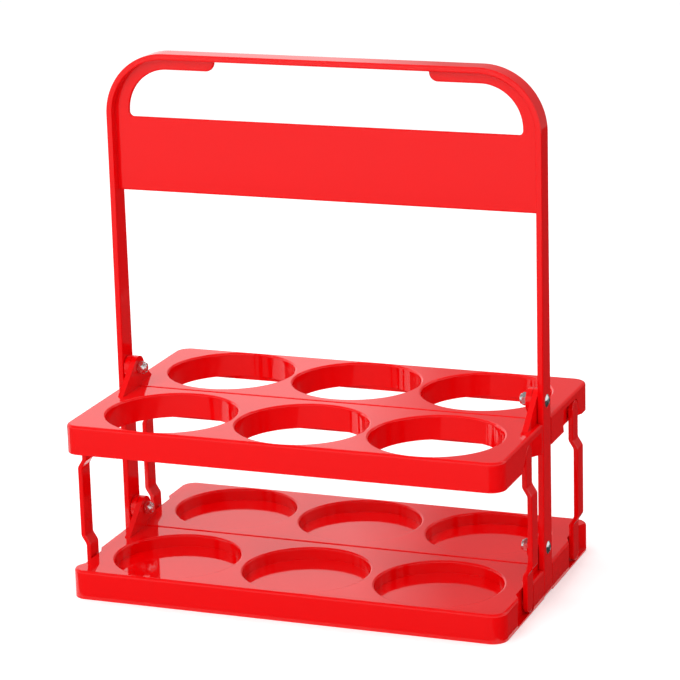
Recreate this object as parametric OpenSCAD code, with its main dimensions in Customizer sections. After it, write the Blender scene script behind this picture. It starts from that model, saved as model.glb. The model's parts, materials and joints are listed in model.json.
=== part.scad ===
// Folding carrier for six bottles.
// A handle frame carries two levels of half trays on four hinge bolts. The half trays fold up against
// the handle, and four cranked links keep each upper half parallel to the lower half beneath it.
// X runs along the carrier, Y across it and Z up. The origin is the middle of the base.

/* [Bottle grid] */
// Distance between the centres of neighbouring bottles
pitch = 92; // [91:1:104]
// Diameter of the open holes in the upper trays
hole_d = 87; // [70:1:88]
// How much narrower the recesses of the lower trays are than the holes
recess_less = 3; // [1:0.5:12]
// Number of bottles in one row
row_count = 3; // [2:1:4]

/* [Trays] */
// Height of a tray's skirt
tray_h = 19.5; // [18.5:0.5:24]
// Thickness of the moulded walls
wall = 2; // [1.6:0.1:2.4]
// From the edge of a hole to the seam between the front and back trays
seam_edge = 7.5; // [6.5:0.5:14]
// Land left outside a hole's collar at the outer long side
outer_land = 0.5; // [0.4:0.1:6]
// From the edge of the last hole to the tray's end
end_edge = 14.5; // [13.5:0.5:24]
// Gap at the seam between the front and back trays
seam_gap = 0.4; // [0.3:0.1:1]
// Radius of the outer corners seen from above
corner_r = 10; // [6:1:14]
// Radius of the outer top edge
edge_r = 2; // [1:0.5:2]
// Radius of the top edge at the seam
seam_r = 1.5; // [0.5:0.5:2]
// Radius of the lip around each hole and recess
lip_r = 1.5; // [0.5:0.5:2]
// Depth of the collar that guides a bottle
collar_depth = 16.5; // [10:0.5:18]
// Depth of the recesses in the lower trays
recess_depth = 8; // [6:0.5:12]
// Width of the web that ties neighbouring collars together
web_w = 12; // [6:1:20]

/* [Hinges] */
// Height of a hinge bolt above the top of its tray
hinge_rise = 13; // [13:0.5:16]
// Radius of the head of a hinge ear
ear_r = 8; // [6:0.5:10]
// Thickness of a hinge ear
ear_t = 3.8; // [3:0.1:4.5]
// Length of an ear's foot along the end of the tray
ear_foot = 28; // [20:1:34]
// Gap between pieces that turn on the same bolt
side_gap = 0.3; // [0.2:0.05:0.5]
// Space between the folded lower tray's edge and the upper hinge
fold_gap = 3; // [3:0.5:12]

/* [Handle frame] */
// Height of the whole carrier
handle_h = 349.5; // [330:0.5:400]
// Thickness of the legs and of the top bar
leg_t = 4; // [3.5:0.1:5]
// Width of the frame at the top bar
bar_w = 15; // [12:0.5:17]
// Width of the legs at the foot
foot_w = 18; // [17:0.5:20]
// Height of the foot above the base
foot_lift = 0.5; // [0.3:0.1:3]
// Gap on each side of a leg in the slot of a tray
slot_gap = 0.4; // [0.3:0.1:0.8]
// Outer radius of the top corners
arch_r = 42; // [30:1:55]
// Thickness of the web in the middle plane
web_t = 2.8; // [2:0.1:4]
// Height of the panel between the legs
panel_h = 50; // [30:1:60]
// From the top of the carrier to the top of the panel
panel_drop = 43.5; // [42:0.5:60]
// Width of the web beside the legs above the panel
strip_w = 10; // [6:0.5:16]
// Depth of the web tabs under the top bar
tab_h = 7.5; // [5:0.5:9]
// Distance between the two web tabs
tab_space = 148; // [100:2:170]
// Radius of the lower corners of the grip opening
grip_low_r = 3; // [1:0.5:6]
// Radius of the upper corners of the grip opening
grip_top_r = 28; // [12:1:29]
// Radius at the free end of each tab
tab_r = 6; // [2:0.5:7]

/* [Links] */
// Distance of the near link's pivots from the seam plane
link_near = 39.5; // [38.5:0.5:42]
// Distance of the far link's pivots from the seam plane
link_far = 64; // [60:0.5:65]
// Depth of the link pivots below the top of the trays
pivot_drop = 11.5; // [10.5:0.5:12]
// Width of a link
link_w = 12.5; // [10:0.5:13]
// Thickness of a link
link_t = 3.2; // [2.6:0.1:3.6]
// Distance from a pivot to the start of the crank
crank_start = 20.5; // [15:0.5:21]
// Length of the crank
crank_run = 5.5; // [4:0.5:6]
// Clearance around a link in its pocket
pocket_gap = 0.6; // [0.4:0.1:0.9]
// Length of the ramp from a pocket up to the end wall
relief = 10; // [4:0.5:12]
// Radius of the pivot stub on a link
stub_r = 3.5; // [2.5:0.1:4]
// Radial play of a stub in the lower tray
stub_play = 0.08; // [0.05:0.01:0.1]
// Radial play of a stub in the upper tray
loose_play = 0.3; // [0.2:0.05:0.4]
// Radius of the shoulder behind a link
shoulder_r = 5.2; // [5:0.1:6]
// Radius of the retaining head on a stub
head_r = 4.5; // [4.4:0.1:5]
// Length of the retaining head
head_len = 2; // [1:0.1:2.5]

/* [Fasteners] */
// Diameter of a hinge bolt
bolt_d = 5; // [3:0.5:6]
// Length of a bolt under its head
bolt_len = 18; // [18:1:25]
// Diameter of the domed bolt head
bolt_head_d = 8.8; // [7:0.2:10]
// Height of the domed bolt head
bolt_head_h = 1.6; // [1.5:0.1:3]
// Width of the drive socket across its flats
socket_w = 3; // [2:0.1:4]
// Depth of the drive socket
socket_depth = 1.3; // [0.8:0.1:1.4]
// Radial play of a bolt in the leg and the ears
bolt_play = 0.08; // [0.05:0.01:0.1]
// Radial gap between the bolt and the nut
thread_gap = 0.02; // [0.01:0.01:0.05]
// Width of a nut across its flats
nut_w = 8; // [6.6:0.1:9]
// Height of a nut's hexagon
nut_hex_h = 3.4; // [2.4:0.1:3.5]
// Height of a nut's locking collar
nut_collar_h = 1.6; // [1:0.1:2]
// Chamfer on the corners of a nut
nut_chamfer = 0.5; // [0.2:0.1:0.6]

/* [Hidden] */
$fn = 96;

plastic = [0.93, 0.10, 0.13];
steel = [0.75, 0.76, 0.78];

// Amount by which a cut runs past the surface it opens
over = 1;

// Trays
hole_r = hole_d / 2;
recess_r = hole_r - recess_less / 2;
tray_l = (row_count - 1) * pitch + hole_d + 2 * end_edge;
end_x = tray_l / 2;
row_y = seam_edge + hole_r;
tray_d = row_y + hole_r + wall + outer_land;
hole_xs = [for (i = [0 : row_count - 1]) (i - (row_count - 1) / 2) * pitch];

// Hinges, in the height of a tray and of the carrier
hinge_z = tray_h + hinge_rise;
level_step = tray_d + fold_gap;
bolt_hole_r = bolt_d / 2 + bolt_play;

// Layers across each end, from the leg inwards
floor_x = end_x - leg_t - side_gap;
inner_ear_x = floor_x - ear_t - side_gap;
nut_x = inner_ear_x - ear_t - side_gap;

// Handle frame
slot_half = foot_w / 2 + slot_gap;
panel_top = handle_h - panel_drop;
panel_low = panel_top - panel_h;
bar_low = handle_h - leg_t;
grip_half = end_x - leg_t - strip_w;
tab_low = bar_low - tab_h;

// Links
pivot_z = tray_h - pivot_drop;
pocket_r = link_w / 2 + pocket_gap;
crank_end = crank_start + crank_run;
link_in = end_x - link_t;
link_out = end_x + side_gap;

// Round space that a link needs as it turns: its radius at the pocket floor and at the end wall
sweep_slope = crank_run / (link_out - link_in);
sweep_floor_r = norm([crank_start, link_w / 2]) + pocket_gap * norm([1, sweep_slope])
                - (link_in - floor_x) * sweep_slope;
sweep_r = sweep_floor_r + (end_x - floor_x) * sweep_slope;

// Shape helpers
// Each takes a flat shape drawn in (y, z) or (x, z) and carries it along the remaining axis.
module along_x(x0, x1) {
    translate([x0, 0, 0]) rotate([90, 0, 90]) linear_extrude(x1 - x0) children();
}

module along_y(y0, y1) {
    translate([0, y1, 0]) rotate([90, 0, 0]) linear_extrude(y1 - y0) children();
}

module rod(x0, x1, y, z, r) {
    translate([x0, y, z]) rotate([0, 90, 0]) cylinder(h = x1 - x0, r = r);
}

module turned() {
    rotate([0, 0, 180]) children();
}

module rect(a0, a1, b0, b1) {
    translate([a0, b0]) square([a1 - a0, b1 - b0]);
}

// A rectangle whose two upper corners are rounded
module round_topped(a0, a1, b0, b1, r0, r1) {
    rect(a0, a1, b0, b1 - max(r0, r1));
    rect(a0 + r0, a1 - r1, b0, b1);
    rect(a0, a0 + r0, b0, b1 - r0);
    rect(a1 - r1, a1, b0, b1 - r1);
    translate([a0 + r0, b1 - r0]) circle(r0);
    translate([a1 - r1, b1 - r1]) circle(r1);
}

// Point where the tangent from point p touches a circle of radius r about the origin
function tangent(p, r, side) =
    let (a = atan2(p[1], p[0]) + side * acos(r / norm(p)))
    [r * cos(a), r * sin(a)];

// Trays. The front half is drawn, and the back half is the same piece turned round.
// Outer block with a rounded top edge, rounded corners and a plain seam face
module tray_block() {
    along_x(-(end_x - corner_r), end_x - corner_r)
        round_topped(-tray_d, -seam_gap / 2, 0, tray_h, edge_r, seam_r);
    difference() {
        along_y(-(tray_d - corner_r), -seam_gap / 2)
            round_topped(-end_x, end_x, 0, tray_h, edge_r, edge_r);
        along_x(-end_x - over, end_x + over) seam_edge_cut();
    }
    for (s = [-1, 1])
        translate([s * (end_x - corner_r), -(tray_d - corner_r), 0])
            rotate_extrude() intersection() {
                round_topped(-corner_r, corner_r, 0, tray_h, edge_r, edge_r);
                rect(0, corner_r, 0, tray_h);
            }
}

// What the rounding takes off the top edge at the seam
module seam_edge_cut() {
    difference() {
        rect(-seam_gap / 2 - seam_r, over, tray_h - seam_r, tray_h + over);
        translate([-seam_gap / 2 - seam_r, tray_h - seam_r]) circle(seam_r);
    }
}

// Hollow under a tray, up to the wall behind the link pockets
module tray_hollow() {
    r = corner_r - wall;
    x = floor_x - wall;
    y = tray_d - wall;
    translate([0, 0, -over]) linear_extrude(tray_h - wall + over) {
        rect(-x, x, -(y - r), -seam_gap / 2 - wall);
        rect(-(x - r), x - r, -y, -seam_gap / 2 - wall);
        for (s = [-1, 1]) translate([s * (x - r), -(y - r)]) circle(r);
    }
}

// Cored space behind an end wall, between two distances from the seam
module end_core(u0, u1) {
    if (u1 - u0 > wall)
        translate([floor_x - wall - over, -u1, -over])
            cube([end_x - floor_x + over, u1 - u0, tray_h - wall + over]);
}

// Hinge ear outline about the bolt, in (y, z)
module ear_2d() {
    toe = [-ear_foot, -hinge_rise];
    heel = [-seam_gap / 2, -hinge_rise];
    circle(ear_r);
    polygon([toe, tangent(toe, ear_r, -1), tangent(heel, ear_r, 1), heel,
             heel - [0, wall - wall / 4], toe - [0, wall - wall / 4]]);
}

module tray_ears() {
    translate([0, 0, hinge_z]) {
        along_x(floor_x - ear_t, floor_x) ear_2d();
        along_x(-inner_ear_x, ear_t - inner_ear_x) ear_2d();
    }
}

// The slots for the legs and the bolt holes, the same in every tray
module hinge_cuts() {
    for (s = [0, 1]) mirror([s, 0, 0]) {
        translate([floor_x, -slot_half, -over])
            cube([leg_t + side_gap + over, slot_half + over, tray_h + 2 * over]);
        rod(inner_ear_x - ear_t - over, end_x + over, 0, hinge_z, bolt_hole_r);
    }
}

// Rounded lip around a hole of radius r
module lip_cut(r) {
    rotate_extrude() difference() {
        rect(r - over, r + lip_r, tray_h - lip_r, tray_h + over);
        translate([r + lip_r, tray_h - lip_r]) circle(lip_r);
    }
}

// The cone that a link sweeps about its pivot, ramped like the crank
module link_sweep(u) {
    translate([floor_x, -u, pivot_z]) rotate([0, 90, 0])
        cylinder(h = end_x - floor_x + over, r1 = sweep_floor_r, r2 = sweep_r + over * sweep_slope);
}

// Pocket of an upper tray: the link hangs down in it and swings towards the hinge
module upper_pocket(u) {
    intersection() {
        along_x(floor_x, end_x + over) {
            translate([-u, pivot_z]) circle(pocket_r);
            rect(-u - pocket_r, -u, -over, pivot_z);
            rect(-u, -u + sweep_r + over, -over, pivot_z + pocket_r);
        }
        link_sweep(u);
    }
    upper_ramp(-u - pocket_r);
}

// Ramp that widens and deepens downwards, on the outer side of an upper pocket
module upper_ramp(edge) {
    drop = pivot_z + over;
    lean = atan(relief / drop);
    intersection() {
        along_x(floor_x, end_x + over)
            polygon([[edge + over, pivot_z], [edge, pivot_z], [edge - relief, -over], [edge + over, -over]]);
        translate([0, edge, pivot_z]) rotate([-lean, 0, 0]) translate([0, 0, -2 * drop])
            linear_extrude(3 * drop)
                polygon([[end_x, 0], [end_x + over, -over], [end_x + over, 2 * drop],
                         [floor_x, 2 * drop], [floor_x, drop * sin(lean)]]);
    }
}

// Pocket of a lower tray: the link stands up in it and swings outwards
module lower_pocket(u) {
    intersection() {
        along_x(floor_x, end_x + over)
            rect(-u - sweep_r - over, -u + pocket_r, pivot_z - pocket_r, tray_h + over);
        link_sweep(u);
    }
}

// Ramp on the side of a lower pocket that faces the hinge
module lower_ramp(edge) {
    translate([0, edge, pivot_z - pocket_r]) linear_extrude(tray_h)
        polygon([[floor_x, -over], [floor_x, 0], [end_x, relief], [end_x + over, relief],
                 [end_x + over, -over]]);
}

module pivot_hole(u, play) {
    rod(floor_x - wall - over, end_x, -u, pivot_z, stub_r + play);
}

// Shell of an upper tray with its open collars
module upper_tray() {
    difference() {
        union() {
            difference() {
                tray_block();
                tray_hollow();
                end_core(link_near + pocket_r + relief + wall, tray_d - corner_r);
                mirror([1, 0, 0]) {
                    end_core(slot_half + wall, link_far - sweep_r - wall);
                    end_core(link_far + pocket_r + relief + wall, tray_d - corner_r);
                }
            }
            for (x = hole_xs) translate([x, -row_y, tray_h - collar_depth])
                cylinder(h = collar_depth - wall / 2, r = hole_r + wall);
            for (x = hole_xs) if (x < hole_xs[row_count - 1])
                translate([x + hole_r - over, -row_y - web_w / 2, tray_h - collar_depth])
                    cube([pitch - hole_d + 2 * over, web_w, collar_depth - wall / 2]);
            tray_ears();
        }
        for (x = hole_xs) translate([x, -row_y, 0]) {
            translate([0, 0, -over]) cylinder(h = tray_h + 2 * over, r = hole_r);
            lip_cut(hole_r);
        }
        hinge_cuts();
        upper_pocket(link_near);
        pivot_hole(link_near, loose_play);
        mirror([1, 0, 0]) {
            upper_pocket(link_far);
            pivot_hole(link_far, loose_play);
        }
    }
}

// Shell of a lower tray with its closed recesses
module lower_tray() {
    difference() {
        union() {
            difference() {
                tray_block();
                tray_hollow();
                end_core(slot_half + wall, link_near - pocket_r - wall);
                end_core(link_near + sweep_r + wall, tray_d - corner_r);
                mirror([1, 0, 0])
                    end_core(slot_half + wall, link_far - pocket_r - relief - wall);
            }
            for (x = hole_xs) translate([x, -row_y, tray_h - recess_depth - wall])
                cylinder(h = recess_depth + wall / 2, r = recess_r + wall);
            tray_ears();
        }
        for (x = hole_xs) translate([x, -row_y, 0]) {
            translate([0, 0, tray_h - recess_depth]) cylinder(h = recess_depth + over, r = recess_r);
            lip_cut(recess_r);
        }
        hinge_cuts();
        lower_pocket(link_near);
        pivot_hole(link_near, stub_play);
        mirror([1, 0, 0]) {
            lower_pocket(link_far);
            lower_ramp(-link_far + pocket_r);
            pivot_hole(link_far, stub_play);
        }
    }
}

module upper_tray_front() {
    color(plastic) translate([0, 0, level_step]) upper_tray();
}

module upper_tray_back() {
    color(plastic) translate([0, 0, level_step]) turned() upper_tray();
}

module lower_tray_front() {
    color(plastic) lower_tray();
}

module lower_tray_back() {
    color(plastic) turned() lower_tray();
}

// Handle frame: one arch of flat bar with a web in its middle plane
module arch_2d(half, top, r, low) {
    round_topped(-half, half, low, top, r, r);
}

// Opening for the hand, with a tab left at each side under the top bar
module grip_2d() {
    tab_x = tab_space / 2;
    difference() {
        intersection() {
            round_topped(-grip_half, grip_half, panel_top, tab_low, grip_top_r, grip_top_r);
            rect(-grip_half, grip_half, panel_top, tab_low);
        }
        for (s = [-1, 1]) translate([s * (grip_half - grip_low_r), panel_top + grip_low_r])
            difference() {
                rect(s < 0 ? -grip_low_r - over : 0, s < 0 ? 0 : grip_low_r + over, -grip_low_r - over, 0);
                circle(grip_low_r);
            }
    }
    rect(-tab_x, tab_x, panel_top + grip_low_r, bar_low);
    for (s = [-1, 1]) difference() {
        rect(min(s * tab_x, s * (tab_x + tab_r)), max(s * tab_x, s * (tab_x + tab_r)),
             tab_low - over, tab_low + tab_r);
        translate([s * (tab_x + tab_r), tab_low + tab_r]) circle(tab_r);
    }
}

// Side view of the frame: straight at the top, wider towards the feet
module side_2d() {
    polygon([[-foot_w / 2, foot_lift], [foot_w / 2, foot_lift], [bar_w / 2, panel_low],
             [bar_w / 2, handle_h + over], [-bar_w / 2, handle_h + over], [-bar_w / 2, panel_low]]);
}

module handle_frame() {
    color(plastic) difference() {
        union() {
            intersection() {
                along_y(-foot_w, foot_w) difference() {
                    arch_2d(end_x, handle_h, arch_r, 0);
                    arch_2d(end_x - leg_t, bar_low, arch_r - leg_t, -over);
                }
                along_x(-end_x - over, end_x + over) side_2d();
            }
            along_y(-web_t / 2, web_t / 2) difference() {
                arch_2d(end_x - leg_t / 2, handle_h - leg_t / 2, arch_r - leg_t / 2, panel_low);
                grip_2d();
            }
        }
        for (z = [hinge_z, level_step + hinge_z])
            rod(-end_x - over, end_x + over, 0, z, bolt_hole_r);
    }
}

// Cranked link: flush in the pockets at both ends and proud of the end walls between them
module link() {
    intersection() {
        along_x(link_in - over, link_out + link_t + over) {
            rect(-link_w / 2, link_w / 2, pivot_z, level_step + pivot_z);
            for (z = [pivot_z, level_step + pivot_z]) translate([0, z]) circle(link_w / 2);
        }
        along_y(-link_w, link_w) link_side_2d();
    }
    for (z = [pivot_z, level_step + pivot_z]) {
        rod(floor_x + side_gap, link_in + link_t / 2, 0, z, shoulder_r);
        rod(floor_x - wall - side_gap - head_len, link_in + link_t / 2, 0, z, stub_r);
        rod(floor_x - wall - side_gap - head_len, floor_x - wall - side_gap, 0, z, head_r);
    }
}

// Side view of a link in (x, z)
module link_side_2d() {
    low = pivot_z - link_w;
    high = level_step + pivot_z + link_w;
    a = pivot_z + crank_start;
    b = pivot_z + crank_end;
    c = level_step + pivot_z - crank_end;
    d = level_step + pivot_z - crank_start;
    polygon([[link_in, low], [link_in, a], [link_out, b], [link_out, c], [link_in, d], [link_in, high],
             [end_x, high], [end_x, d], [link_out + link_t, c], [link_out + link_t, b], [end_x, a], [end_x, low]]);
}

module link_front_right() {
    color(plastic) translate([0, -link_near, 0]) link();
}

module link_front_left() {
    color(plastic) turned() translate([0, link_far, 0]) link();
}

module link_back_right() {
    color(plastic) translate([0, link_far, 0]) link();
}

module link_back_left() {
    color(plastic) turned() translate([0, -link_near, 0]) link();
}

// Fasteners, drawn at the right-hand end and turned round for the left-hand end
module hinge_bolt(z) {
    dome_r = (pow(bolt_head_d / 2, 2) + pow(bolt_head_h, 2)) / (2 * bolt_head_h);
    difference() {
        translate([end_x, 0, z]) rotate([0, 90, 0]) {
            rotate_extrude() intersection() {
                translate([0, bolt_head_h - dome_r]) circle(dome_r);
                rect(0, bolt_head_d / 2, 0, bolt_head_h);
            }
            translate([0, 0, -bolt_len]) cylinder(h = bolt_len + bolt_head_h / 4, r = bolt_d / 2);
        }
        translate([end_x + bolt_head_h - socket_depth, 0, z]) rotate([0, 90, 0])
            cylinder(h = socket_depth + over, r = socket_w / sqrt(3), $fn = 6);
    }
}

// Hexagon nut with a locking collar, facing inwards
module lock_nut(z) {
    corner = nut_w / sqrt(3);
    collar_r = nut_w / 2 - nut_chamfer;
    translate([nut_x, 0, z]) rotate([0, -90, 0]) difference() {
        union() {
            intersection() {
                cylinder(h = nut_hex_h, r = corner, $fn = 6);
                rotate_extrude() polygon([[0, 0], [corner - nut_chamfer, 0], [corner, nut_chamfer],
                                          [corner, nut_hex_h - nut_chamfer],
                                          [corner - nut_chamfer, nut_hex_h], [0, nut_hex_h]]);
            }
            rotate_extrude() intersection() {
                round_topped(-collar_r, collar_r, nut_hex_h / 2, nut_hex_h + nut_collar_h,
                             nut_chamfer, nut_chamfer);
                rect(0, collar_r, 0, nut_hex_h + nut_collar_h);
            }
        }
        translate([0, 0, -over]) cylinder(h = nut_hex_h + nut_collar_h + 2 * over, r = bolt_d / 2 + thread_gap);
    }
}

module hinge_bolt_upper_right() {
    color(steel) hinge_bolt(level_step + hinge_z);
}

module hinge_bolt_upper_left() {
    color(steel) turned() hinge_bolt(level_step + hinge_z);
}

module hinge_bolt_lower_right() {
    color(steel) hinge_bolt(hinge_z);
}

module hinge_bolt_lower_left() {
    color(steel) turned() hinge_bolt(hinge_z);
}

module lock_nut_upper_right() {
    color(steel) lock_nut(level_step + hinge_z);
}

module lock_nut_upper_left() {
    color(steel) turned() lock_nut(level_step + hinge_z);
}

module lock_nut_lower_right() {
    color(steel) lock_nut(hinge_z);
}

module lock_nut_lower_left() {
    color(steel) turned() lock_nut(hinge_z);
}

handle_frame();
upper_tray_front();
upper_tray_back();
lower_tray_front();
lower_tray_back();
link_front_right();
link_front_left();
link_back_right();
link_back_left();
hinge_bolt_upper_right();
hinge_bolt_upper_left();
hinge_bolt_lower_right();
hinge_bolt_lower_left();
lock_nut_upper_right();
lock_nut_upper_left();
lock_nut_lower_right();
lock_nut_lower_left();
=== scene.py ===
# %% [markdown]
# A folding carrier for six bottles, dressed for its portrait.
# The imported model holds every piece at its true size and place. This lesson loads it, sets up the
# camera, the light and the floor of a plain studio, and then gives each piece the surface that a
# moulding shop or a bolt maker would give it.

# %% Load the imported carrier
import json
import math

import bmesh
import bpy
import numpy as np
from mathutils import Matrix

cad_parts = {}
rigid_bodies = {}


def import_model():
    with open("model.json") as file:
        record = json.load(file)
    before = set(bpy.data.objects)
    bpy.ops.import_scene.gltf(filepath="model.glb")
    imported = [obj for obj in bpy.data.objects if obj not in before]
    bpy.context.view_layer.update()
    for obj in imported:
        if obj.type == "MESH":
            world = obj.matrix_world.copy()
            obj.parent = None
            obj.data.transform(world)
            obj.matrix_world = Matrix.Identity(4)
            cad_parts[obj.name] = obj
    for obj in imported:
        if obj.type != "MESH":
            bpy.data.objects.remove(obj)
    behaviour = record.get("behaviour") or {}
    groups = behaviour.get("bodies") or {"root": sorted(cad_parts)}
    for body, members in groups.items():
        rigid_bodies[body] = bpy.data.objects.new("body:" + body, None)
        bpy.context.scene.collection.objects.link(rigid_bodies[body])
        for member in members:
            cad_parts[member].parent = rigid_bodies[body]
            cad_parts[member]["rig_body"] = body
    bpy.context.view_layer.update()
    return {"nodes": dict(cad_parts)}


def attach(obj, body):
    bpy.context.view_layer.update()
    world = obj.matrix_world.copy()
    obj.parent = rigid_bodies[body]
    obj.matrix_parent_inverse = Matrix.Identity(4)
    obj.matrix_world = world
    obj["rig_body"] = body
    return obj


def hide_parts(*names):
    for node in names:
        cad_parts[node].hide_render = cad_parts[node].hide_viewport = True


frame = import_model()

MM = 0.001

# %% [markdown]
# The camera. The photograph was taken from the right and a little above, from about two metres.
# It could be matched by eye. Here its place comes from the rims of the holes, whose true sizes are
# known, and from the legs, which are upright. The optical axis is a little off the middle of the
# picture, and a small lens shift takes that up.

# %% Camera
PICTURE = 680  # both sides of the photograph, in pixels
EYE = np.array([696.2, -1780.4, 697.3]) * MM
TURN, TILT, ROLL = math.radians(21.27), math.radians(15.86), math.radians(-1.64)
FOCAL_PIXELS = 3013.8
AXIS_PIXEL = (332.9, 351.2)
SENSOR = 36.0

forward = np.array([-math.sin(TURN) * math.cos(TILT), math.cos(TURN) * math.cos(TILT), -math.sin(TILT)])
level = np.array([math.cos(TURN), math.sin(TURN), 0])
upright = np.cross(level, forward)
right = level * math.cos(ROLL) + upright * math.sin(ROLL)
up = upright * math.cos(ROLL) - level * math.sin(ROLL)

camera_data = bpy.data.cameras.new("camera")
camera_data.sensor_width = SENSOR
camera_data.lens = FOCAL_PIXELS / PICTURE * SENSOR
camera_data.shift_x = (PICTURE / 2 - AXIS_PIXEL[0]) / PICTURE
camera_data.shift_y = (AXIS_PIXEL[1] - PICTURE / 2) / PICTURE
camera = bpy.data.objects.new("camera", camera_data)
pose = np.eye(4)
pose[:3, :] = np.column_stack([right, up, -forward, EYE])
camera.matrix_world = Matrix(pose.tolist())
bpy.context.collection.objects.link(camera)
scene = bpy.context.scene
scene.camera = camera
scene.view_settings.view_transform = "Standard"
print("lens", round(camera_data.lens, 1), "mm")

# %% [markdown]
# Colours and nodes. A paint chart gives colours as sRGB, and light adds up linearly, so one function
# turns a hex value to linear light. Another adds a node with its settings and links, which keeps each
# material's recipe short enough to read as a list.

# %% Helpers for materials
def light(hex_colour):
    """Linear RGBA of an sRGB hex colour.
    Each channel c becomes ((c + 0.055) / 1.055) ** 2.4, or c / 12.92 where it is dark."""
    c = np.array([int(hex_colour[i:i + 2], 16) for i in (1, 3, 5)]) / 255
    linear = np.where(c > 0.04045, ((c + 0.055) / 1.055) ** 2.4, c / 12.92)
    return (*linear.tolist(), 1.0)


def add(tree, kind, settings=None, **inputs):
    """Adds a node. Settings are its properties. Inputs are values, or sockets to link, by socket name."""
    node = tree.nodes.new(kind)
    for key, value in (settings or {}).items():
        setattr(node, key, value)
    for key, value in inputs.items():
        socket = node.inputs[int(key[1:])] if key[1:].isdigit() else node.inputs[key.replace("_", " ")]
        if isinstance(value, bpy.types.NodeSocket):
            tree.links.new(value, socket)
        else:
            socket.default_value = value
    return node


def empty_tree(owner):
    """Gives a material or a world an empty node tree and returns it."""
    owner.use_nodes = True
    owner.node_tree.nodes.clear()
    return owner.node_tree


# %% [markdown]
# The studio. The carrier stands on white card that runs into a white wall. A real card would need
# much more light than the carrier to come out white, and that light would bleach the red. So the
# card and the world take their last bit of brightness only where the camera, a reflection or clear
# plastic sees them, and the carrier itself is lit at a plain level. Its shadow stays on the card.

# %% Floor and world
WORLD_LIGHT = 0.62
CARD_LIFT = 0.35
CARD_SIZE = 12.0


def seen_directly(tree):
    """A socket that is 1 for camera, glossy and transmission rays and 0 for light that spreads."""
    path = add(tree, "ShaderNodeLightPath")
    mirror = add(tree, "ShaderNodeMath", {"operation": "MAXIMUM"},
                 _0=path.outputs["Is Glossy Ray"], _1=path.outputs["Is Transmission Ray"])
    both = add(tree, "ShaderNodeMath", {"operation": "MAXIMUM"},
               _0=path.outputs["Is Camera Ray"], _1=mirror.outputs[0])
    return both.outputs[0]


world = bpy.data.worlds.new("studio")
scene.world = world
tree = empty_tree(world)
spread = add(tree, "ShaderNodeBackground", Color=light("#ffffff"), Strength=WORLD_LIGHT)
shown = add(tree, "ShaderNodeBackground", Color=light("#ffffff"), Strength=1.0)
mix = add(tree, "ShaderNodeMixShader", _0=seen_directly(tree), _1=spread.outputs[0], _2=shown.outputs[0])
add(tree, "ShaderNodeOutputWorld", Surface=mix.outputs[0])

card = bpy.data.materials.new("white_card")
tree = empty_tree(card)
paper = add(tree, "ShaderNodeBsdfDiffuse", Color=light("#f4f4f4"))
lift = add(tree, "ShaderNodeEmission", Color=light("#ffffff"), Strength=CARD_LIFT)
lifted = add(tree, "ShaderNodeAddShader", _0=paper.outputs[0], _1=lift.outputs[0])
mix = add(tree, "ShaderNodeMixShader", _0=seen_directly(tree), _1=paper.outputs[0], _2=lifted.outputs[0])
add(tree, "ShaderNodeOutputMaterial", Surface=mix.outputs[0])

edge = CARD_SIZE / 2
floor_mesh = bpy.data.meshes.new("card_floor")
floor_corners = [(-edge, -edge, 0), (edge, -edge, 0), (edge, edge, 0), (-edge, edge, 0)]
floor_mesh.from_pydata(floor_corners, [], [(0, 1, 2, 3)])
floor_mesh.materials.append(card)
floor = bpy.data.objects.new("card_floor", floor_mesh)
bpy.context.collection.objects.link(floor)
print("floor", CARD_SIZE, "m wide")

# %% [markdown]
# What the gloss mirrors. A studio hangs grey and black cards around a shiny thing, because its
# surface shows them. The flat tops mirror an upright card behind that darkens to the right, and the
# right-hand ends mirror a black card that lies beside them. The fronts mirror a card on the floor
# that is dim close to the carrier, a dark one lies behind, and a grey one hangs overhead for the
# rounded edges. The cards are seen only in reflections: they give no light and throw no shadow.

# %% Cards that only the gloss sees
CARDS = {  # centre and size in metres, turn about x and z in degrees, then (place, brightness) along it
    "back_card": ((-1.0, 2.0, 0.65), (4.4, 1.7), (90, 0), ((0.555, 1.12), (0.59, 0.38), (1.0, 0.2))),
    "right_card": ((1.151, 0.9, 0.001), (2.0, 3.2), (0, 0), ((0.0, 0.05), (1.0, 0.05))),
    "front_card": ((-0.4, -0.9, 0.001), (1.6, 4.0), (0, -90), ((0.0, 0.25), (0.3, 0.55), (0.7, 1.0))),
    "rear_card": ((-0.35, 1.2, 0.001), (1.0, 2.2), (0, 0), ((0.0, 0.1), (1.0, 0.1))),
    "top_card": ((0.0, -0.2, 1.9), (5.0, 3.4), (180, 0), ((0.0, 0.3), (1.0, 0.3))),
}


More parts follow.
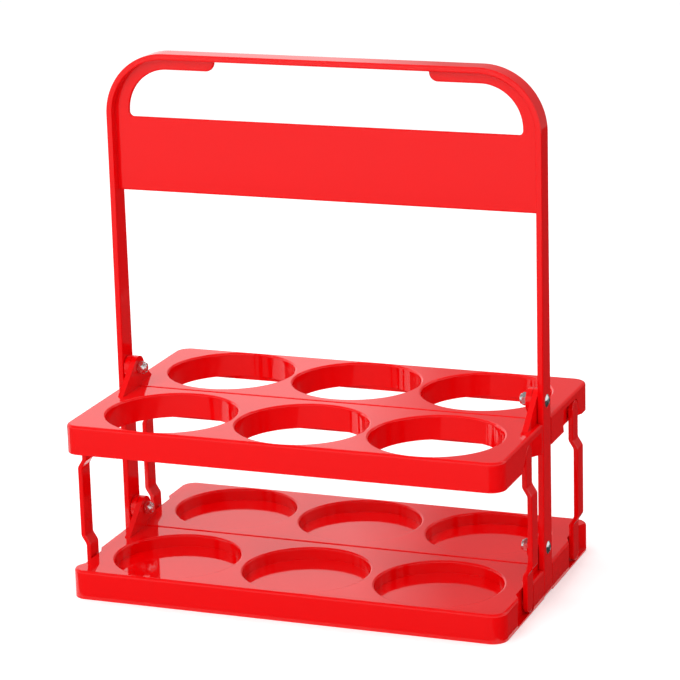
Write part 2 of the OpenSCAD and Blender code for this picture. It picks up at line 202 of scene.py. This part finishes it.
def reflected_card(name, centre, size, turns, shades):
    """A card that only glossy rays meet. Its brightness runs through the shades along its first side."""
    material = bpy.data.materials.new(name)
    tree = empty_tree(material)
    place = add(tree, "ShaderNodeTexCoord").outputs["Generated"]
    along = add(tree, "ShaderNodeSeparateXYZ", Vector=place).outputs[0]
    shade = shades[0][1]
    for (start, before), (stop, after) in zip(shades, shades[1:]):
        step = add(tree, "ShaderNodeMapRange", Value=along, _1=start, _2=stop, _3=0.0, _4=after - before)
        shade = add(tree, "ShaderNodeMath", {"operation": "ADD"}, _0=shade, _1=step.outputs[0]).outputs[0]
    glow = add(tree, "ShaderNodeEmission", Color=light("#ffffff"), Strength=shade)
    add(tree, "ShaderNodeOutputMaterial", Surface=glow.outputs[0])
    x, y = size[0] / 2, size[1] / 2
    mesh = bpy.data.meshes.new(name)
    mesh.from_pydata([(-x, -y, 0), (x, -y, 0), (x, y, 0), (-x, y, 0)], [], [(0, 1, 2, 3)])
    mesh.materials.append(material)
    card = bpy.data.objects.new(name, mesh)
    card.location = centre
    card.rotation_euler = (math.radians(turns[0]), 0, math.radians(turns[1]))
    card.visible_camera = card.visible_diffuse = card.visible_shadow = False
    card.visible_transmission = card.visible_volume_scatter = False
    bpy.context.collection.objects.link(card)
    return card


for name, (centre, size, turns, shades) in CARDS.items():
    reflected_card(name, centre, size, turns, shades)
print(len(CARDS), "cards")

# %% [markdown]
# The lamps. One large soft box hangs high at the front left, so the fronts are bright and the
# right-hand ends fall off. A weaker one overhead, a little behind, keeps the tops and the far
# recesses from going dull. A single sun would be simpler, but its hard shadows aren't in the picture.

# %% Lamps
LAMPS = {  # place and target in metres, side of the square in metres, power in watts
    "key_soft_box": ((-0.5, -1.9, 1.65), (0, 0, 0.15), 1.6, 25),
    "top_soft_box": ((-0.4, 0.5, 2.1), (0, 0, 0.15), 1.6, 14.5),
}
for name, (place, target, side, power) in LAMPS.items():
    lamp = bpy.data.lights.new(name, "AREA")
    lamp.size = side
    lamp.energy = power
    lamp_object = bpy.data.objects.new(name, lamp)
    back = np.array(place) - np.array(target)
    back /= np.linalg.norm(back)
    side_axis = np.cross((0, 0, 1), back)
    side_axis /= np.linalg.norm(side_axis)
    pose = np.eye(4)
    pose[:3, :] = np.column_stack([side_axis, np.cross(back, side_axis), back, place])
    lamp_object.matrix_world = Matrix(pose.tolist())
    lamp_object.visible_glossy = False
    bpy.context.collection.objects.link(lamp_object)
print(len(LAMPS), "lamps")

# %% [markdown]
# Red polypropylene, injection-moulded in a polished steel tool. The eye gets a deep, even red with a
# wet gloss: dark tones stay clean, flat tops turn pink where they mirror the wall at a low angle, and
# rounded edges carry a thin white line. The pigment is fully mixed in, so the colour hardly varies.
# What tells plastic from paint is a faint waviness from shrinkage, tens of millimetres long, and a
# finer ripple like the skin of an orange, about a millimetre across.

# %% Moulded polypropylene
PP_IOR = 1.49
PP_ROUGHNESS = 0.06
PP_GLOSS = 0.34  # share of the full gloss that the shop's polish leaves, as Specular IOR Level
FLOW_MM = 90  # length over which the two reds drift into each other
SHRINK_HEIGHT_MM, RIPPLE_HEIGHT_MM = 0.25, 0.02
NOISE_LOW, NOISE_HIGH = 0.3, 0.7  # nearly all values of a noise lie between these


def moulded_polypropylene(name, red, deep_red, shrink_mm, ripple_mm):
    """Glossy moulded plastic. The two reds drift into each other over the length of a flow front."""
    material = bpy.data.materials.new(name)
    tree = empty_tree(material)
    place = add(tree, "ShaderNodeTexCoord").outputs["Object"]
    flow = add(tree, "ShaderNodeTexNoise", Vector=place, Scale=1 / (FLOW_MM * MM), Detail=2.0, Roughness=0.45)
    colour = add(tree, "ShaderNodeMix", {"data_type": "RGBA"}, _0=flow.outputs[0],
                 _6=light(red), _7=light(deep_red))
    shrink = add(tree, "ShaderNodeTexNoise", Vector=place, Scale=1 / (shrink_mm * MM), Detail=1.0)
    ripple = add(tree, "ShaderNodeTexNoise", Vector=place, Scale=1 / (ripple_mm * MM), Detail=1.0)
    soft = add(tree, "ShaderNodeBump", Strength=0.25, Distance=SHRINK_HEIGHT_MM * MM,
               Height=shrink.outputs[0])
    fine = add(tree, "ShaderNodeBump", Strength=0.12, Distance=RIPPLE_HEIGHT_MM * MM,
               Height=ripple.outputs[0], Normal=soft.outputs[0])
    gloss = add(tree, "ShaderNodeMapRange", Value=flow.outputs[0], _1=NOISE_LOW, _2=NOISE_HIGH,
                _3=PP_ROUGHNESS - 0.02, _4=PP_ROUGHNESS + 0.03)
    shader = add(tree, "ShaderNodeBsdfPrincipled", Base_Color=colour.outputs[2], Roughness=gloss.outputs[0],
                 IOR=PP_IOR, Specular_IOR_Level=PP_GLOSS, Normal=fine.outputs[0])
    add(tree, "ShaderNodeOutputMaterial", Surface=shader.outputs[0])
    return material


tray_plastic = moulded_polypropylene("moulded_polypropylene_trays", "#f40307", "#ee0206", 30, 1.2)
handle_plastic = moulded_polypropylene("moulded_polypropylene_handle", "#f40308", "#ee0207", 45, 1.2)
link_plastic = moulded_polypropylene("moulded_polypropylene_links", "#ef0307", "#e90206", 20, 1.0)
print("plastics:", tray_plastic.name, handle_plastic.name, link_plastic.name)

# %% [markdown]
# Zinc-plated steel. Bolts and nuts leave the plating bath silver-grey with a slightly blue, cloudy
# film. They mirror the room, but softly, because the film is not polished.

# %% Zinc-plated steel
CLOUD_MM, GRAIN_MM = 2, 0.3
GRAIN_HEIGHT_MM = 0.01
ZINC_SMOOTH, ZINC_ROUGH = 0.16, 0.28


def zinc_plated_steel(name):
    """Plated steel: a metal whose tint and roughness drift in clouds about two millimetres across."""
    material = bpy.data.materials.new(name)
    tree = empty_tree(material)
    place = add(tree, "ShaderNodeTexCoord").outputs["Object"]
    cloud = add(tree, "ShaderNodeTexNoise", Vector=place, Scale=1 / (CLOUD_MM * MM), Detail=3.0)
    colour = add(tree, "ShaderNodeMix", {"data_type": "RGBA"}, _0=cloud.outputs[0],
                 _6=light("#dde0e6"), _7=light("#ebeae6"))
    rough = add(tree, "ShaderNodeMapRange", Value=cloud.outputs[0], _1=NOISE_LOW, _2=NOISE_HIGH,
                _3=ZINC_SMOOTH, _4=ZINC_ROUGH)
    grain = add(tree, "ShaderNodeTexNoise", Vector=place, Scale=1 / (GRAIN_MM * MM), Detail=2.0)
    bump = add(tree, "ShaderNodeBump", Strength=0.1, Distance=GRAIN_HEIGHT_MM * MM, Height=grain.outputs[0])
    shader = add(tree, "ShaderNodeBsdfPrincipled", Base_Color=colour.outputs[2], Metallic=1.0,
                 Roughness=rough.outputs[0], Normal=bump.outputs[0])
    add(tree, "ShaderNodeOutputMaterial", Surface=shader.outputs[0])
    return material


zinc = zinc_plated_steel("zinc_plated_steel")
print("steel:", zinc.name)

# %% [markdown]
# The trays. Each is one moulding with many cuts: holes, lips, slots, pockets and ramps. A skin of
# grids could follow them, but every cut would need its own grid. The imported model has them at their
# true roundings already, so its surface stays and only takes the plastic.

# %% Trays
for node, piece in frame["nodes"].items():
    if "_tray_" in node:
        piece.data.materials[0] = tray_plastic
        print(node, len(piece.data.polygons), "triangles")

# %% [markdown]
# New skins. The handle frame, the links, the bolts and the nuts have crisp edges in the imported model,
# and details that are too fine for it. Each gets a new surface, worked out as a grid of points: rows
# along the piece and columns around it. One function lays faces over such a grid and welds the
# points that meet at a seam or a pole. A sculpted mesh could look alike, but a formula can be checked.

# %% Skins from grids of points
WELD_MM = 0.002
SHARP_DEGREES = 32  # edges that turn by more than this stay sharp


def skin(name, grids, ring=False):
    """One closed mesh per grid of points in mm, shaped (rows, columns, 3), whose columns run round and close.
    Where ring is true the rows close too. Points that coincide are welded, and the normals face outwards."""
    shape = bmesh.new()
    for grid in grids:
        rows, columns = grid.shape[:2]
        index = np.arange(rows * columns).reshape(rows, columns)
        below, above = (index, np.roll(index, -1, 0)) if ring else (index[:-1], index[1:])
        quads = np.stack([below, np.roll(below, -1, 1), np.roll(above, -1, 1), above], -1).reshape(-1, 4)
        part = bpy.data.meshes.new(name)
        part.from_pydata((grid.reshape(-1, 3) * MM).tolist(), [], quads.tolist())
        shape.from_mesh(part)
        bpy.data.meshes.remove(part)
    bmesh.ops.remove_doubles(shape, verts=shape.verts, dist=WELD_MM * MM)
    bmesh.ops.recalc_face_normals(shape, faces=shape.faces)
    mesh = bpy.data.meshes.new(name)
    shape.to_mesh(mesh)
    shape.free()
    mesh.shade_smooth()
    mesh.set_sharp_from_angle(angle=math.radians(SHARP_DEGREES))
    return mesh


def dress(name, mesh, node, material):
    """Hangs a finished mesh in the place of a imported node, on the same body."""
    mesh.materials.append(material)
    piece = bpy.data.objects.new(name, mesh)
    bpy.context.collection.objects.link(piece)
    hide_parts(node)
    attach(piece, frame["nodes"][node]["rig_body"])
    return piece


def quarter(steps):
    """Cosines and sines of angles from 0 to 90 degrees."""
    angle = np.linspace(0, math.pi / 2, steps)
    return np.cos(angle), np.sin(angle)


# %% [markdown]
# The bar of the handle frame. The mould makes one flat bar that runs up a leg, over the top and down
# the other leg, 4 mm thick and 15 to 18 mm wide. Its edges are rounded to 0.7 mm, so they show a fine
# bright line and don't cut the hand. A rounded rectangle is carried along the middle of the bar.

# %% Bar of the handle frame
END_X, HANDLE_TOP, FOOT_Z = 150.0, 349.5, 0.5
BAR_T, BAR_W, FOOT_W, PANEL_LOW = 4.0, 15.0, 18.0, 256.0
ARCH_R = 42.0
BAR_EDGE = 0.7
WEB_T = 2.8


def rounded_section(radius, steps=6, support=0.5):
    """Unit of a rounded rectangle: signs of its corners in both directions and offsets from them in mm.
    Each corner runs through a quarter circle. A point on each flat, next to it, keeps the flat flat."""
    c, s = quarter(steps)
    out = radius * np.concatenate([[1.0], c, [-support / radius]])
    side = radius * np.concatenate([[-support / radius], s, [1.0]])
    signs = np.repeat([[1, 1], [-1, 1], [-1, -1], [1, -1]], steps + 2, axis=0)
    offsets = np.concatenate([np.column_stack(pair) for pair in
                              ((out, side), (-side, out), (-out, -side), (side, -out))])
    return signs, offsets


def carried_bar(middle, outward, half_t, half_w, radius):
    """Carries the section along rows of middle points (x, z).
    Each row has an outward direction (x, z) and half a thickness and width. A row that is thinner than
    two corners scales them down with it."""
    signs, offsets = rounded_section(radius)
    inner_t = np.maximum(half_t - radius, 0)[:, None]
    corner_share = np.minimum(1, half_t / radius)[:, None]
    thick = signs[:, 0] * inner_t + offsets[:, 0] * corner_share
    wide = signs[:, 1] * (half_w - radius)[:, None] + offsets[:, 1]
    x = middle[:, 0, None] + outward[:, 0, None] * thick
    z = middle[:, 1, None] + outward[:, 1, None] * thick
    return np.stack([x, wide, z], -1)


end_c, end_s = quarter(6)
foot_rows = FOOT_Z + BAR_EDGE * (1 - end_s)[::-1]
straight_rows = [FOOT_Z + 1.5, 60, 120, 180, PANEL_LOW - 1, PANEL_LOW, PANEL_LOW + 1, 280]
leg_rows = np.concatenate([[FOOT_Z], foot_rows, straight_rows])
arc = np.linspace(0, math.pi / 2, 40)
bend_z, bend_r = HANDLE_TOP - ARCH_R, ARCH_R - BAR_T / 2
leg_x = END_X - BAR_T / 2
right_x = np.concatenate([np.full(len(leg_rows), leg_x), leg_x - bend_r * (1 - np.cos(arc)), [70, 40, 0.0]])
right_z = np.concatenate([leg_rows, bend_z + bend_r * np.sin(arc), [HANDLE_TOP - BAR_T / 2] * 3])
out_x = np.concatenate([np.ones(len(leg_rows)), np.cos(arc), [0.0] * 3])
shrink = np.zeros(len(right_x))
shrink[1:len(foot_rows) + 1] = BAR_EDGE * (1 - end_c)[::-1]
shrink[0] = BAR_T / 2
middle = np.column_stack([np.append(right_x, -right_x[-2::-1]), np.append(right_z, right_z[-2::-1])])
out_x = np.append(out_x, -out_x[-2::-1])
outward = np.column_stack([out_x, np.sqrt(1 - out_x ** 2)])
shrink = np.append(shrink, shrink[-2::-1])
taper = np.clip((PANEL_LOW - middle[:, 1]) / (PANEL_LOW - FOOT_Z), 0, 1)
half_w = (BAR_W + (FOOT_W - BAR_W) * taper) / 2 - np.minimum(shrink, BAR_EDGE)
bar = carried_bar(middle, outward, BAR_T / 2 - shrink, half_w, BAR_EDGE)
print("bar grid", bar.shape, "x", bar[..., 0].min(), "to", bar[..., 0].max(), "z to", bar[..., 2].max())

# %% [markdown]
# The web of the handle frame. A thinner wall in the middle plane forms the panel between the legs,
# the strips beside the hand opening and the two tabs under the top bar. It spans two loops: the rim
# of the opening and a line inside the bar, with the panel's lower edge at the bottom. Both rims are
# rounded. Each row of the grid goes once round the wall: front face, outer rim, back face, inner rim.

# %% Web of the handle frame
PANEL_TOP, TAB_LOW, TAB_X, TAB_R = 306.0, 338.0, 74.0, 6.0
GRIP_X, GRIP_LOW_R, GRIP_TOP_R = 136.0, 3.0, 28.0
WEB_EDGE = 0.9


def line(start, end, steps):
    """Points from start to end, without the last one."""
    return np.linspace(start, end, steps, endpoint=False)


def bow(centre, radius, from_deg, to_deg, steps):
    """Points of an arc in (x, z), without the last one."""
    angle = np.radians(line(from_deg, to_deg, steps))
    return np.column_stack([centre[0] + radius * np.cos(angle), centre[1] + radius * np.sin(angle)])


def away_from(centre, points):
    """Unit directions from a centre to each of the points."""
    ray = points - centre
    return ray / np.linalg.norm(ray, axis=1)[:, None]


top_in, top_out = HANDLE_TOP - BAR_T + 1, HANDLE_TOP - BAR_T / 2
low_centre = (GRIP_X - GRIP_LOW_R, PANEL_TOP + GRIP_LOW_R)
arch_centre = (GRIP_X - GRIP_TOP_R, TAB_LOW - GRIP_TOP_R)
tab_centre = (TAB_X + TAB_R, TAB_LOW + TAB_R)
low_x, low_z = low_centre
arch_x, arch_z = arch_centre
tab_x, tab_z = tab_centre
low_corner = bow(low_centre, GRIP_LOW_R, -90, 0, 8)
arch = bow(arch_centre, GRIP_TOP_R, 0, 90, 30)
tab_end = bow(tab_centre, TAB_R, -90, -180, 12)
pieces = [  # rim of the opening, direction into the wall, and the matching outer line
    (line((0, PANEL_TOP), (low_x, PANEL_TOP), 8), (0, -1), line((0, PANEL_LOW), (low_x, PANEL_LOW), 8)),
    (low_corner, away_from(low_centre, low_corner), line((low_x, PANEL_LOW), (leg_x, PANEL_LOW), 8)),
    (line((GRIP_X, low_z), (GRIP_X, arch_z), 8), (1, 0), line((leg_x, PANEL_LOW), (leg_x, bend_z), 8)),
    (arch, away_from(arch_centre, arch), bow((arch_x, bend_z), bend_r, 0, 90, 30)),
    (line((arch_x, TAB_LOW), (tab_x, TAB_LOW), 4), (0, 1), line((arch_x, top_out), (tab_x, top_out), 4)),
    (tab_end, -away_from(tab_centre, tab_end), line((tab_x, top_out), (TAB_X, top_out), 12)),
    (line((TAB_X, tab_z), (TAB_X, top_in), 3), (1, 0), line((TAB_X, top_out), (TAB_X - 0.2, top_out), 3)),
    (line((TAB_X, top_in), (0, top_in), 6), (0, 1), line((TAB_X - 0.2, top_out), (0, top_out), 6)),
]
rim = np.concatenate([points for points, _, _ in pieces] + [[[0, top_in]]])
outer = np.concatenate([points for _, _, points in pieces] + [[[0, top_out]]])
into = [np.broadcast_to(direction, points.shape) for points, direction, _ in pieces]
into = np.concatenate(into + [[[0, 1]]]).astype(float)
print("half loops of", len(rim), "points")

# %% [markdown]
# The web's surface. The half loops are mirrored to whole ones, and the outer loop is pulled in only
# along the panel's lower edge, because elsewhere it ends inside the bar. Then each point of the loops
# becomes a row that rounds both edges over by a quarter circle.

# %% Surface of the web
inward = np.where((outer[:, 1] <= PANEL_LOW)[:, None], (0.0, 1.0), (0.0, 0.0))
flip = np.array([-1.0, 1.0])
rim, outer, into, inward = (np.concatenate([half_loop, (half_loop * flip)[-2:0:-1]])
                            for half_loop in (rim, outer, into, inward))

c, s = quarter(6)
half = WEB_T / 2
depth = WEB_EDGE * (1 - c)  # distance from the rim while the edge rounds over
level_y = half - WEB_EDGE * (1 - s)  # half thickness there
rim_side = rim[:, None] + into[:, None] * depth[:, None]
outer_side = outer[:, None] + inward[:, None] * depth[:, None]
flat_start = WEB_EDGE + 0.5  # a line here, on the flat, keeps the flat flat
flat_rim = rim[:, None] + into[:, None] * flat_start
flat_outer = outer[:, None] + inward[:, None] * flat_start
around = np.concatenate([rim_side, flat_rim, flat_outer, outer_side[:, ::-1],
                         outer_side, flat_outer, flat_rim, rim_side[:, ::-1]], 1)
around_y = np.concatenate([-level_y, [-half, -half], -level_y[::-1], level_y, [half, half], level_y[::-1]])
web = np.stack([around[..., 0], np.broadcast_to(around_y, around.shape[:2]), around[..., 1]], -1)
print("web grid", web.shape, "from z", web[..., 2].min(), "to", web[..., 2].max())

# %% [markdown]
# The handle frame is one moulding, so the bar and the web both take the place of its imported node.
# They could be joined into one mesh. As two they stay plain, and the web's edges end inside the bar.

# %% Handle frame
handle_mesh = skin("handle_bar", [bar])
web_mesh = skin("handle_web", [web], ring=True)
dress("handle_bar", handle_mesh, "handle_frame", handle_plastic)
dress("handle_web", web_mesh, "handle_frame", handle_plastic)
print("bar", len(handle_mesh.polygons), "faces, web", len(web_mesh.polygons), "faces")

# %% [markdown]
# The links. Each is a flat bar with round ends, cranked so that it lies in the pockets at both ends
# and runs outside the walls between them. A snap stub on each end turns in the tray. The outline's
# points are stepped inwards over a rounded edge and on to the middle line, on both faces, and then
# pushed out along x by the crank: a ramp whose two bends are averaged over 2.4 mm, which rounds them.

# %% Links
PIVOT_LOW, PIVOT_HIGH = 8.0, 108.0
LINK_W, LINK_T, LINK_EDGE = 12.5, 3.2, 0.6
LINK_IN, LINK_SHIFT = 146.8, 3.5
CRANK_START, CRANK_RUN, BEND = 20.5, 5.5, 1.2
STUB_PROFILE = [  # x and radius of the stub, from inside the bar to the snap head's end
    (148.0, 5.2), (146.15, 5.2), (146.0, 5.05), (146.0, 3.5), (143.4, 3.5), (143.4, 4.3), (143.2, 4.5),
    (142.4, 4.5), (141.4, 3.8), (141.4, 0.0)]


def ramp_integral(z, start, end):
    """Integral of a ramp that rises from 0 at start to 1 at end."""
    inside = np.clip(z, start, end) - start
    return inside ** 2 / (2 * (end - start)) + np.maximum(z - end, 0)


def crank(z):
    """Shift along x at height z: two mirrored ramps, each averaged over a window of 2 * BEND."""
    shift = np.zeros_like(z)
    for height in (z, PIVOT_LOW + PIVOT_HIGH - z):
        start = PIVOT_LOW + CRANK_START
        shift += ramp_integral(height + BEND, start, start + CRANK_RUN)
        shift -= ramp_integral(height - BEND, start, start + CRANK_RUN)
    return LINK_SHIFT * (shift / (2 * BEND) - 1)


def link_bar():
    """Grid of the bar: columns along the outline, rows over the inner face, the edge and the outer face."""
    r = LINK_W / 2
    bend = np.linspace(CRANK_START - 2, CRANK_START + CRANK_RUN + 2, 24)
    rows = np.concatenate([[2.0], bend, [40, 60], 100 - bend[::-1], [98.0]]) + PIVOT_LOW
    arc = np.linspace(0, math.pi, 33)
    outline = np.concatenate([np.column_stack([np.full(len(rows), r), rows]),
                              np.column_stack([r * np.cos(arc), PIVOT_HIGH + r * np.sin(arc)]),
                              np.column_stack([np.full(len(rows), -r), rows[::-1]]),
                              np.column_stack([-r * np.cos(arc), PIVOT_LOW - r * np.sin(arc)])])
    turn = np.column_stack([np.cos(arc), np.sin(arc)])
    to_left = np.tile((-1.0, 0.0), (len(rows), 1))
    inward = np.concatenate([to_left, -turn, -to_left, turn])
    c, s = quarter(6)
    inset = np.concatenate([[r, LINK_EDGE + 0.5], LINK_EDGE * (1 - c[::-1])])
    lift = np.concatenate([[0, 0], LINK_EDGE * (1 - s[::-1])])
    inset, lift = np.append(inset, inset[::-1]), np.append(lift, LINK_T - lift[::-1])
    flat = outline + inward * inset[:, None, None]
    x = LINK_IN + crank(flat[..., 1]) + lift[:, None]
    return np.stack([x, flat[..., 0], flat[..., 1]], -1)


def turned_profile(profile, z, columns=48):
    """Surface of revolution about a line along x at height z: a profile of (x, radius) pairs."""
    x, radius = np.array(profile).T
    angle = np.linspace(0, 2 * math.pi, columns, endpoint=False)
    return np.stack([np.repeat(x[:, None], columns, 1), radius[:, None] * np.cos(angle),
                     z + radius[:, None] * np.sin(angle)], -1)


stub = [(148.0, 0.0)] + STUB_PROFILE
link_grids = [link_bar(), turned_profile(stub, PIVOT_LOW), turned_profile(stub, PIVOT_HIGH)]
LINKS = {"link_front_right": (1, -39.5), "link_front_left": (-1, -64.0),
         "link_back_right": (1, 64.0), "link_back_left": (-1, 39.5)}
for node, (end, y) in LINKS.items():
    placed = [grid * (end, end, 1) + (0, y, 0) for grid in link_grids]
    link = dress(node + "_skin", skin(node, placed), node, link_plastic)
    print(link.name, len(link.data.polygons), "faces")

# %% [markdown]
# The hinge bolts. A button-head screw is forged with a low domed head, its hexagon socket is pressed in,
# and its thread is rolled. The head starts at the socket's floor, whose rings are hexagons; they turn
# into circles on the dome. The thread is a ridge whose height follows the angle and the length, one
# turn in 0.8 mm, which makes it a true helix. It shows where the bolt comes out of its nut.

# %% Hinge bolts
BOLT_R, BOLT_LEN, THREAD_FROM = 2.5, 18.0, 10.5
HEAD_R, HEAD_H, SOCKET_W, SOCKET_DEPTH = 4.4, 1.6, 3.0, 1.3
THREAD_PITCH, THREAD_DEPTH = 0.8, 0.4
HINGE_HEIGHTS = {"lower": 32.5, "upper": 132.5}
COLUMNS = 96


def hexagon(angle, across):
    """Radius of a hexagon, a distance across its flats, at each angle. Two of its corners are up and down."""
    return across / 2 / np.cos((angle + math.pi / 6) % (math.pi / 3) - math.pi / 6)


def bolt_grid():
    """Rings of the bolt from its socket floor over the head and the shank to the thread's end, along -x."""
    angle = np.linspace(0, 2 * math.pi, COLUMNS, endpoint=False)
    six = hexagon(angle, SOCKET_W)
    ball = (HEAD_R ** 2 + HEAD_H ** 2) / (2 * HEAD_H)
    floor_x = HEAD_H - SOCKET_DEPTH

    def dome(r):
        """Height of the domed head at a distance from its middle: a ball whose foot is the head's rim."""
        return HEAD_H - ball + np.sqrt(ball ** 2 - r ** 2)

    rings = [(np.full(COLUMNS, floor_x), 0 * six), (np.full(COLUMNS, floor_x), six)]
    rings += [(dome(six + 0.1) - 0.1, six), (dome(six + 0.1), six + 0.1)]
    for share in np.linspace(0.15, 1, 8):
        radius = (1 - share) * (six + 0.1) + share * (HEAD_R - 0.12)
        rings.append((dome(radius), radius))
    for x, radius in ((0.1, HEAD_R - 0.02), (0.0, HEAD_R - 0.14), (0.0, BOLT_R + 0.2), (-0.2, BOLT_R),
                      (-THREAD_FROM, BOLT_R)):
        rings.append((np.full(COLUMNS, x), np.full(COLUMNS, radius)))
    thread_x = np.arange(THREAD_FROM, BOLT_LEN - 0.4, THREAD_PITCH / 8)[:, None]
    ridge = np.abs(2 * ((thread_x / THREAD_PITCH - angle / (2 * math.pi)) % 1) - 1)
    depth = THREAD_DEPTH * np.minimum(1, thread_x - THREAD_FROM)
    thread = BOLT_R - depth * np.clip(1.25 * ridge - 0.1, 0, 1)
    rings += [(np.full(COLUMNS, -x), radius) for x, radius in zip(thread_x[:, 0], thread)]
    core = BOLT_R - THREAD_DEPTH
    rings += [(np.full(COLUMNS, -(BOLT_LEN - 0.25)), np.full(COLUMNS, core)),
              (np.full(COLUMNS, -BOLT_LEN), np.full(COLUMNS, core - 0.3)),
              (np.full(COLUMNS, -BOLT_LEN), np.zeros(COLUMNS))]
    x, radius = (np.array(part) for part in zip(*rings))
    return np.stack([END_X + x, radius * np.cos(angle), radius * np.sin(angle)], -1)


def place_hardware(kind, grid, material):
    """Hangs the same skin at the four hinges. Those on the left are turned round."""
    for level, z in HINGE_HEIGHTS.items():
        for side, end in (("right", 1), ("left", -1)):
            node = f"{kind}_{level}_{side}"
            mesh = skin(node, [grid * (end, end, 1) + (0, 0, z)])
            piece = dress(node + "_skin", mesh, node, material)
    print(kind, len(piece.data.polygons), "faces each")


place_hardware("hinge_bolt", bolt_grid(), zinc)

# %% [markdown]
# The lock nuts. A nut is a hexagon whose corners are turned down to a cone at both faces, so its
# radius is the smaller of the hexagon's and the cone's. A round collar holds the locking ring.

# %% Lock nuts
NUT_X, NUT_W, NUT_HEX_H, NUT_COLLAR_H, NUT_CHAMFER, NUT_BORE = 137.5, 8.0, 3.4, 1.6, 0.5, 2.52


def nut_grid():
    """Rings of the nut along -x: bore, face, hexagon with coned corners, collar and back into the bore.
    A hexagon's corner is cut where the cone is smaller: its radius grows by the depth below the face."""
    angle = np.linspace(0, 2 * math.pi, COLUMNS, endpoint=False)
    six = hexagon(angle, NUT_W)
    face_r = NUT_W / math.sqrt(3) - NUT_CHAMFER
    collar_r = NUT_W / 2 - NUT_CHAMFER
    top = NUT_HEX_H + NUT_COLLAR_H
    c, s = quarter(5)
    rings = [(0.25, np.full(COLUMNS, NUT_BORE)), (0.0, np.full(COLUMNS, NUT_BORE + 0.25))]
    depths = np.linspace(0, NUT_CHAMFER, 6)
    rings += [(depth, np.minimum(six, face_r + depth)) for depth in depths]
    rings += [(NUT_HEX_H - depth, np.minimum(six, face_r + depth)) for depth in depths[::-1]]
    rings += [(NUT_HEX_H, np.full(COLUMNS, collar_r + 0.2)), (NUT_HEX_H + 0.2, np.full(COLUMNS, collar_r))]
    rings += [(top - NUT_CHAMFER * (1 - b), np.full(COLUMNS, collar_r - NUT_CHAMFER * (1 - a)))
              for a, b in zip(c, s)]
    rings += [(top, np.full(COLUMNS, NUT_BORE + 0.2)), (top - 0.2, np.full(COLUMNS, NUT_BORE)),
              (0.25, np.full(COLUMNS, NUT_BORE))]
    x = np.array([ring[0] for ring in rings])
    radius = np.array([ring[1] for ring in rings])
    along = np.repeat(NUT_X - x[:, None], COLUMNS, 1)
    return np.stack([along, radius * np.cos(angle), radius * np.sin(angle)], -1)


place_hardware("lock_nut", nut_grid(), zinc)

# %% [markdown]
# The end. The view layer is updated once more, so every piece stands at its place on its body. The
# dressed carrier has to stay within the imported one.

# %% Finish
bpy.context.view_layer.update()
